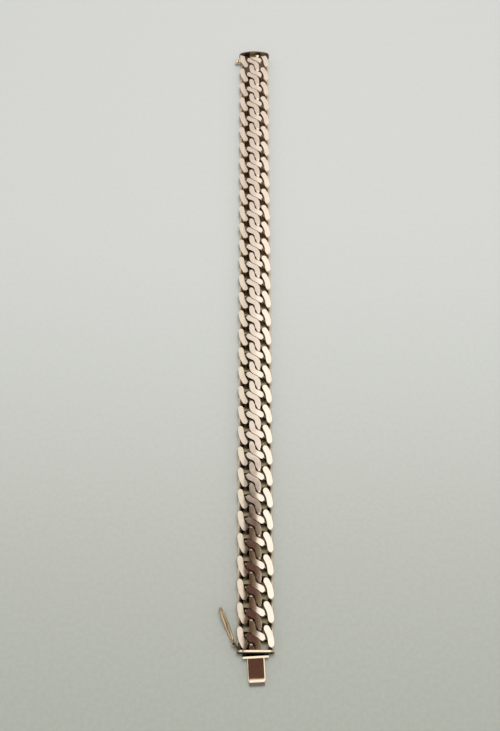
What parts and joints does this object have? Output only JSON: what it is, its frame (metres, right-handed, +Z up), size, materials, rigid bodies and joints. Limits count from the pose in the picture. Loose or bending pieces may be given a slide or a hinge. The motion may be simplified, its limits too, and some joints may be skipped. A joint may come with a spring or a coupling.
{
  "type": "cuban link bracelet",
  "caption": "Cuban link bracelet: a flat double row of interlocked gold curb links, laid straight, with an open box clasp, its spring tongue and a figure-eight safety latch.",
  "frame": {"origin": "middle of the footprint on the surface that the bracelet lies on", "axes": "+Z up from the surface, +Y along the chain towards the box of the clasp, +X across the chain to the side without the safety latch"},
  "size_m": [0.0144, 0.1945, 0.004],
  "materials": {
    "gold": "polished rose-yellow gold"
  },
  "bodies": {
    "bracelet": {"left_row": "gold", "right_row": "gold", "box_end": "gold", "tongue_end": "gold"},
    "safety_latch": {"safety_latch": "gold"}
  },
  "joints": [
    {"name": "latch_swing", "type": "hinge", "parent": "bracelet", "child": "safety_latch", "pos_m": [-0.00326, -0.08743, 0.0015], "axis": [0, 0, 1], "range_deg": [-12, 152]}
  ]
}
